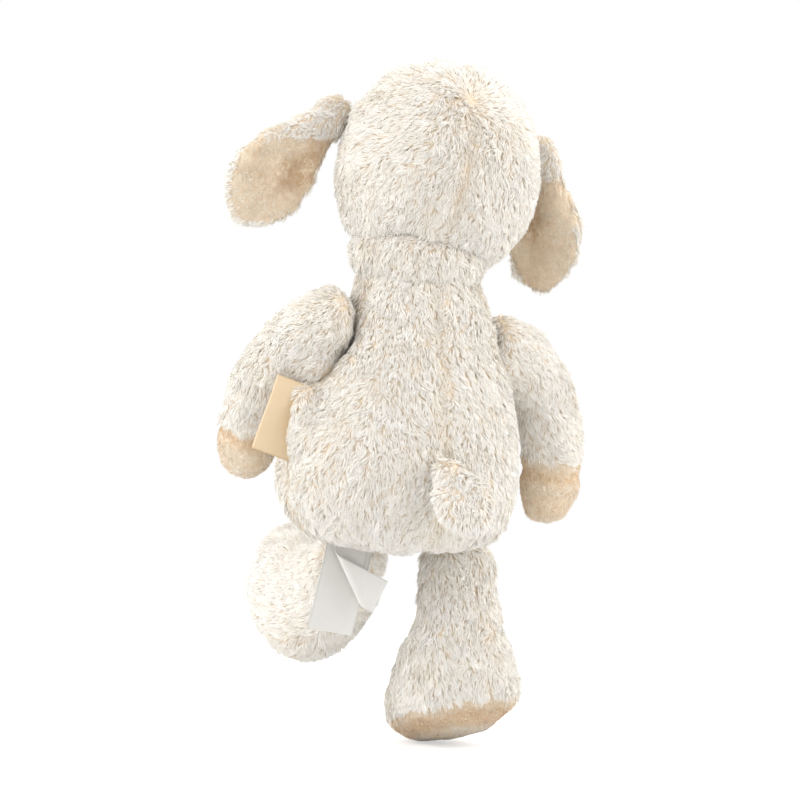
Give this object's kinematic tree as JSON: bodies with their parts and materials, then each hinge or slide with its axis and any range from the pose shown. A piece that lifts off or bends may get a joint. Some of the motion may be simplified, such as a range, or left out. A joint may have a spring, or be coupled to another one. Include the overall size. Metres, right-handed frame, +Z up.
{
  "type": "plush sheep",
  "caption": "Soft stuffed sheep with a domed head, drooping ears, curved arms and broad feet, standing on one leg with the other raised; head, ears, limbs and tail swing",
  "frame": {"origin": "centre of the bounding box's underside, on the ground under the toy in the pictured pose", "axes": "+Z up along the toy's height, its face towards -Y and its own left side towards +X"},
  "size_m": [0.1846, 0.2082, 0.3443],
  "materials": {
    "cream": "long soft pile",
    "tan": "short soft pile",
    "fibre": "loose polyester fibre",
    "satin": "satin ribbon",
    "white_satin": "satin ribbon",
    "black_plastic": "gloss",
    "clear_plastic": "plain",
    "thread": "satin stitch"
  },
  "bodies": {
    "torso": {"torso_back_left": "cream", "torso_back_right": "cream", "torso_belly": "cream", "torso_stuffing": "fibre", "ribbon_label": "satin", "care_label_long": "white_satin", "care_label_short": "white_satin"},
    "neck": {"neck_stuffing": "fibre"},
    "head": {"head_back_left": "cream", "head_back_right": "cream", "face_panel": "tan", "head_stuffing": "fibre", "eye_left": "black_plastic", "eye_right": "black_plastic", "eye_washer_left": "clear_plastic", "eye_washer_right": "clear_plastic", "nose": "thread"},
    "ear_left": {"ear_left_outer": "cream", "ear_left_inner": "tan"},
    "ear_right": {"ear_right_outer": "cream", "ear_right_inner": "tan"},
    "arm_left": {"arm_left_sleeve": "cream", "arm_left_mitt": "tan", "arm_left_stuffing": "fibre"},
    "arm_right": {"arm_right_sleeve": "cream", "arm_right_mitt": "tan", "arm_right_stuffing": "fibre"},
    "leg_left": {"leg_left_sleeve": "cream", "leg_left_sole": "tan", "leg_left_stuffing": "fibre"},
    "leg_right": {"leg_right_sleeve": "cream", "leg_right_sole": "tan", "leg_right_stuffing": "fibre"},
    "tail": {"tail_skin": "cream", "tail_stuffing": "fibre"}
  },
  "joints": [
    {"name": "head_turn", "type": "hinge", "parent": "torso", "child": "neck", "pos_m": [-0.00234, 0.02265, 0.23988], "axis": [-0.0262, 0, 0.9997], "range_deg": [-45, 45], "stiffness_Nm_per_rad": 0.2},
    {"name": "head_nod", "type": "hinge", "parent": "neck", "child": "head", "pos_m": [-0.00234, 0.02265, 0.23988], "axis": [0.9997, 0, 0.0262], "range_deg": [-16, 12], "stiffness_Nm_per_rad": 0.3},
    {"name": "ear_left_swing", "type": "hinge", "parent": "head", "child": "ear_left", "pos_m": [0.03693, 0.00865, 0.31725], "axis": [-0.0853, 0.9962, -0.0181], "range_deg": [-50, 2], "stiffness_Nm_per_rad": 0.02},
    {"name": "ear_right_swing", "type": "hinge", "parent": "head", "child": "ear_right", "pos_m": [-0.0703, 0.00865, 0.29747], "axis": [0.6567, 0.754, -0.0174], "range_deg": [0, 76], "stiffness_Nm_per_rad": 0.02},
    {"name": "arm_left_swing", "type": "hinge", "parent": "torso", "child": "arm_left", "pos_m": [0.04082, 0.02365, 0.21501], "axis": [0.9997, 0, 0.0262], "range_deg": [-75, 4], "stiffness_Nm_per_rad": 0.06, "deforming": ["ribbon_label"]},
    {"name": "arm_right_swing", "type": "hinge", "parent": "torso", "child": "arm_right", "pos_m": [-0.04384, 0.02365, 0.20078], "axis": [0.9997, 0, 0.0262], "range_deg": [-75, 5], "stiffness_Nm_per_rad": 0.06},
    {"name": "leg_left_swing", "type": "hinge", "parent": "torso", "child": "leg_left", "pos_m": [0.0288, 0.01365, 0.10115], "axis": [1, 0, 0], "range_deg": [-6, 70], "stiffness_Nm_per_rad": 0.2, "deforming": ["care_label_long", "care_label_short"]},
    {"name": "leg_right_swing", "type": "hinge", "parent": "torso", "child": "leg_right", "pos_m": [-0.02618, 0.01365, 0.09971], "axis": [1, 0, 0], "range_deg": [-50, 20], "stiffness_Nm_per_rad": 0.2},
    {"name": "tail_swing", "type": "hinge", "parent": "torso", "child": "tail", "pos_m": [0.00021, 0.08112, 0.14242], "axis": [0.9997, 0, 0.0262], "range_deg": [0, 70], "stiffness_Nm_per_rad": 0.02}
  ]
}
